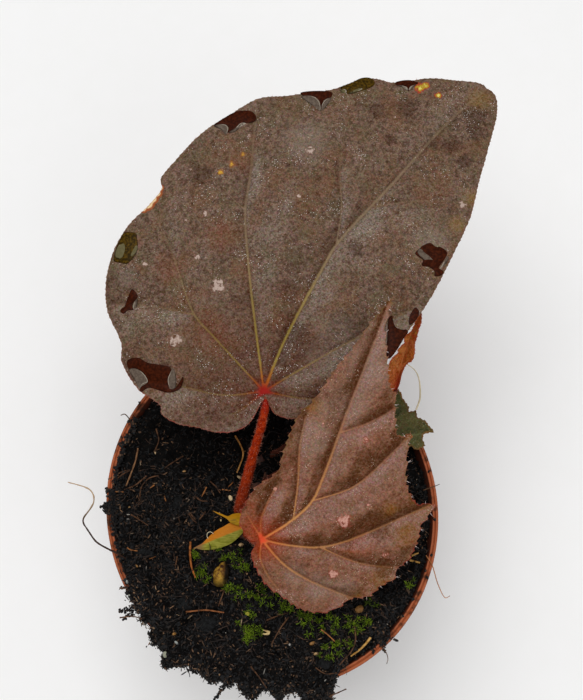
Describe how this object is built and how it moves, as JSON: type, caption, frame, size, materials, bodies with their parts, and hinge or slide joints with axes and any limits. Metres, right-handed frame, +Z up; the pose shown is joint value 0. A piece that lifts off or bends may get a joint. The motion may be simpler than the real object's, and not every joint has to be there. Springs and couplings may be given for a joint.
{
  "type": "potted begonia",
  "caption": "Young begonia with a broad brown-black leaf over smaller toothed pink-brown, orange and green ones, in black peat in a terracotta-coloured nursery pot.",
  "frame": {"origin": "middle of the pot's flat underside, on the surface it stands on", "axes": "+Z up the pot's axis; +Y towards the side the large leaf leans over; +X to the right of it, where the large leaf's tip points"},
  "size_m": [0.1086, 0.1555, 0.1113],
  "materials": {
    "pot_plastic": "satin",
    "peat": "matte",
    "dark_leaf": "satin",
    "pink_leaf": "satin",
    "orange_leaf": "satin",
    "green_leaf": "satin",
    "red_stalk": "satin",
    "stem_skin": "matte",
    "sheath": "satin",
    "dry_fibre": "matte"
  },
  "bodies": {
    "root": {"pot": "pot_plastic", "soil": "peat", "creeping_stem": "stem_skin", "large_leaf_blade": "dark_leaf", "large_leaf_stalk": "red_stalk", "front_leaf_blade": "pink_leaf", "front_leaf_stalk": "red_stalk", "young_leaf_blade": "orange_leaf", "young_leaf_stalk": "red_stalk", "green_leaf_blade": "green_leaf", "green_leaf_stalk": "red_stalk", "upper_sheath": "sheath", "lower_sheath": "sheath", "husk": "dry_fibre", "straw_left": "dry_fibre", "straw_pale": "dry_fibre", "straw_heel": "dry_fibre", "straw_front": "dry_fibre", "curled_root": "dry_fibre"}
  },
  "joints": []
}
